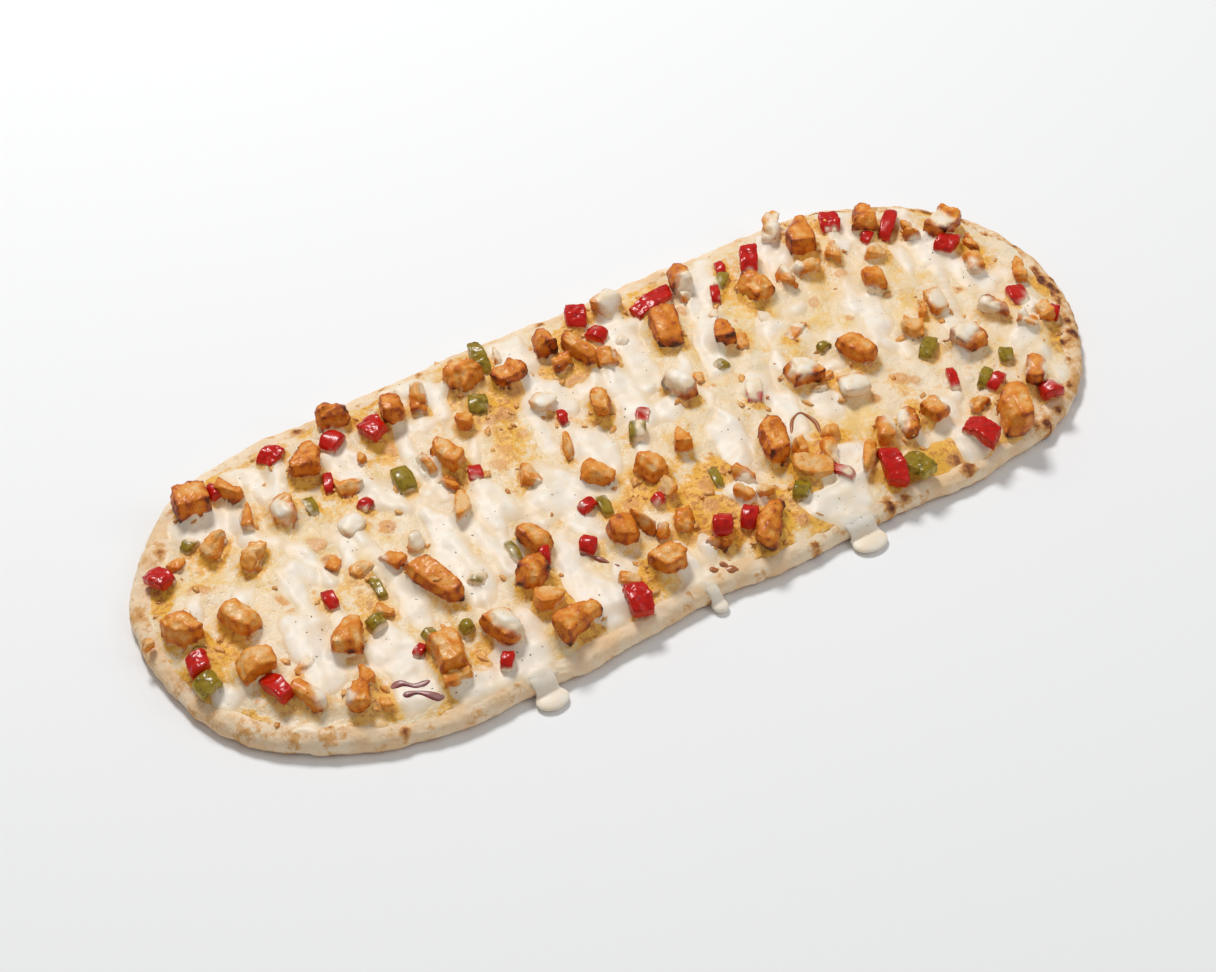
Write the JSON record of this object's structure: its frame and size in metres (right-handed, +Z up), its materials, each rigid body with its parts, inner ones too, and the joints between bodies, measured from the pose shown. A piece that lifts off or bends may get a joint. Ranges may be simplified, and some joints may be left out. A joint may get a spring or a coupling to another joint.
{
  "type": "chicken flatbread",
  "caption": "Oblong thin flatbread with round ends, melted cheese, thick white sauce, roast chicken pieces and diced red and green pepper.",
  "frame": {"origin": "middle of the flat underside", "axes": "+X along the long axis to the end with the browner rim, +Y across, +Z up out of the toppings"},
  "size_m": [0.4056, 0.1762, 0.0208],
  "materials": {
    "crust": "baked dough, pale gold with browned spots, matte",
    "cheese": "melted cheese with browned spots under thick white sauce, soft gloss",
    "chicken": "roast chicken, golden to dark brown, oily",
    "red_pepper": "cooked red pepper, wet gloss",
    "green_pepper": "cooked green pepper, olive, wet gloss"
  },
  "bodies": {
    "root": {"crust": "crust", "cheese": "cheese", "chicken_01": "chicken", "chicken_02": "chicken", "chicken_03": "chicken", "chicken_04": "chicken", "chicken_05": "chicken", "chicken_06": "chicken", "chicken_07": "chicken", "chicken_08": "chicken", "chicken_09": "chicken", "chicken_10": "chicken", "chicken_11": "chicken", "chicken_12": "chicken", "chicken_13": "chicken", "chicken_14": "chicken", "chicken_15": "chicken", "chicken_16": "chicken", "chicken_17": "chicken", "chicken_18": "chicken", "chicken_19": "chicken", "chicken_20": "chicken", "chicken_21": "chicken", "chicken_22": "chicken", "chicken_23": "chicken", "chicken_24": "chicken", "chicken_25": "chicken", "chicken_26": "chicken", "chicken_27": "chicken", "chicken_28": "chicken", "chicken_29": "chicken", "chicken_30": "chicken", "chicken_31": "chicken", "chicken_32": "chicken", "chicken_33": "chicken", "chicken_34": "chicken", "chicken_35": "chicken", "chicken_36": "chicken", "chicken_37": "chicken", "chicken_38": "chicken", "chicken_39": "chicken", "chicken_40": "chicken", "chicken_41": "chicken", "chicken_42": "chicken", "red_pepper_01": "red_pepper", "red_pepper_02": "red_pepper", "red_pepper_03": "red_pepper", "red_pepper_04": "red_pepper", "red_pepper_05": "red_pepper", "red_pepper_06": "red_pepper", "red_pepper_07": "red_pepper", "red_pepper_08": "red_pepper", "red_pepper_09": "red_pepper", "red_pepper_10": "red_pepper", "red_pepper_11": "red_pepper", "red_pepper_12": "red_pepper", "red_pepper_13": "red_pepper", "green_pepper_01": "green_pepper", "green_pepper_02": "green_pepper", "green_pepper_03": "green_pepper"}
  },
  "joints": []
}
